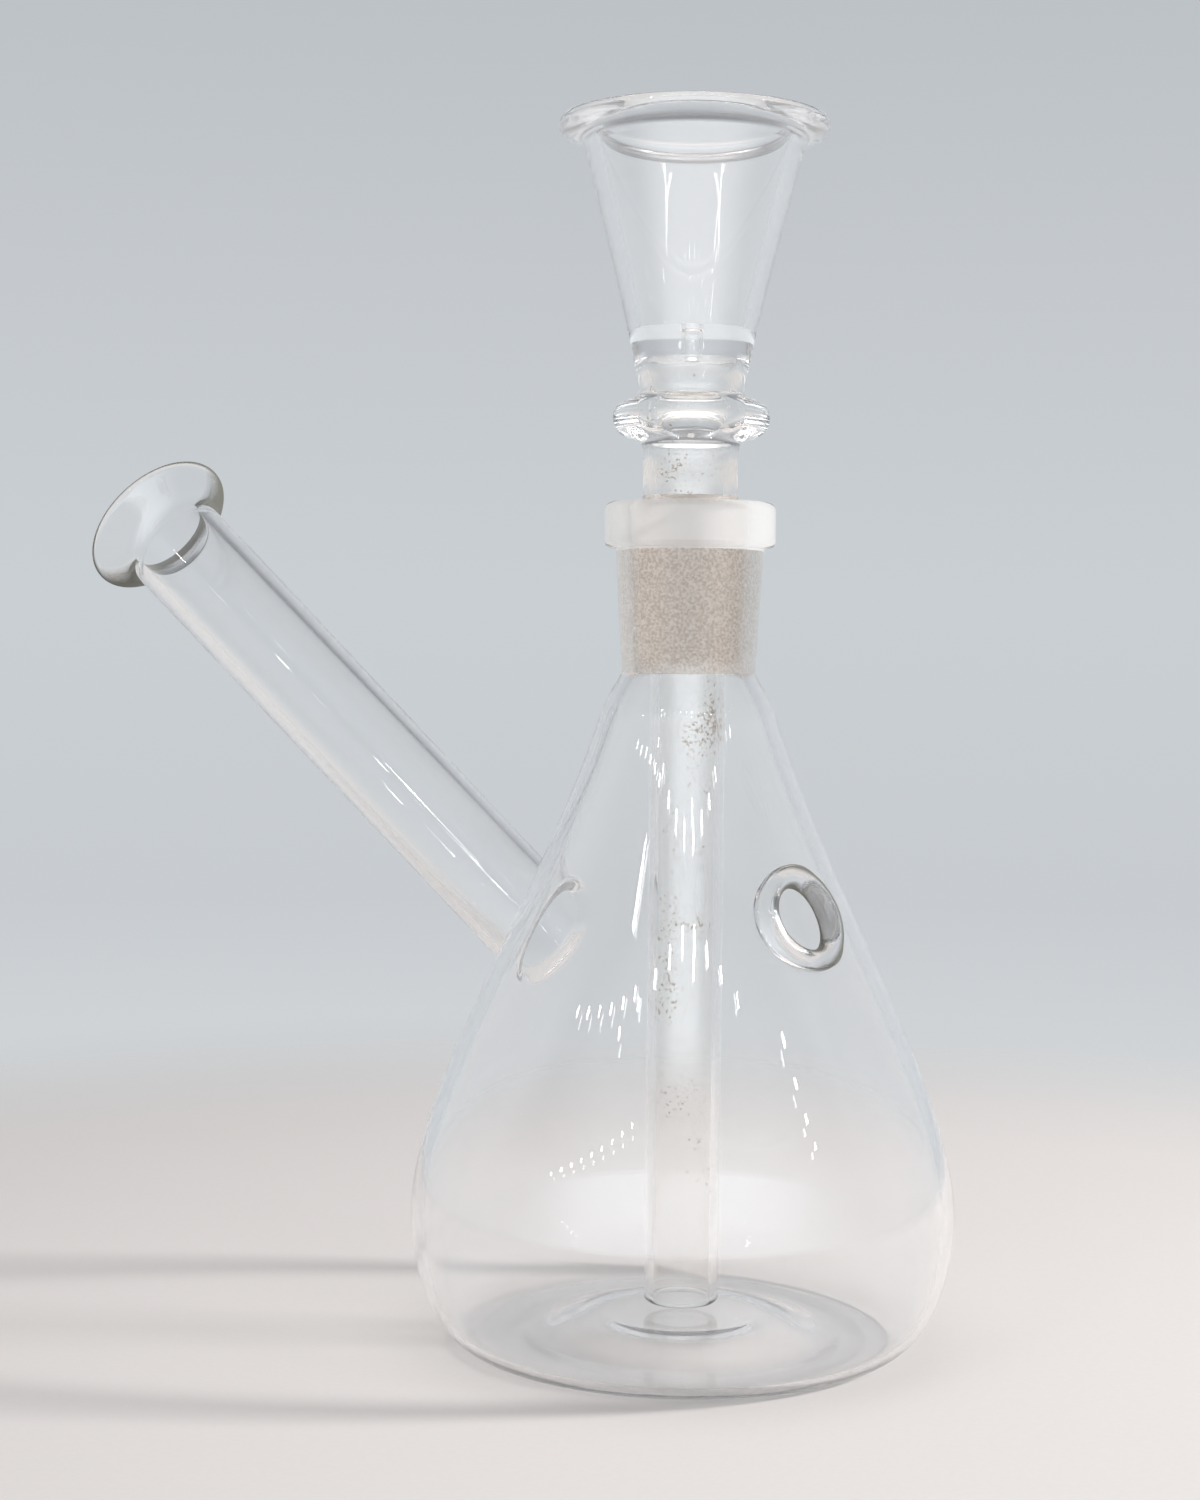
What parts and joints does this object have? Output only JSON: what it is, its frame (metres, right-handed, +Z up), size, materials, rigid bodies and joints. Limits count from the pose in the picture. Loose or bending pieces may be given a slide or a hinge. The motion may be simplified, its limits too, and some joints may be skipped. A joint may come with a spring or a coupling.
{
  "type": "glass water pipe",
  "caption": "Clear glass pear-shaped flask with an angled side mouth tube, a vent hole and a lift-out funnel bowl on a ground-glass joint with a long down tube.",
  "frame": {"origin": "centre of the flask's base ring, on the surface it stands on", "axes": "+Z up along the axis of the flask, the joint and the lift-out bowl; the mouth tube leans out over -X in the XZ plane"},
  "size_m": [0.1652, 0.0848, 0.19],
  "materials": {
    "clear_glass": "clear fire-polished borosilicate glass",
    "ground_glass": "clear outside with a ground, frosted taper face"
  },
  "bodies": {
    "flask": {"flask_body": "clear_glass", "neck_socket": "ground_glass", "socket_rim": "ground_glass", "mouth_tube": "clear_glass", "mouth_lip": "clear_glass", "mouth_tube_weld": "clear_glass", "vent_rim": "clear_glass"},
    "bowl": {"bowl_rim": "clear_glass", "bowl_cone": "clear_glass", "bowl_floor": "clear_glass", "upper_neck": "clear_glass", "grip_ring": "clear_glass", "lower_neck": "clear_glass", "ground_cone": "ground_glass", "down_tube": "clear_glass"}
  },
  "joints": [
    {"name": "bowl_lift", "type": "slide", "parent": "flask", "child": "bowl", "axis": [0, 0, 1], "range_m": [0, 0.14]}
  ]
}
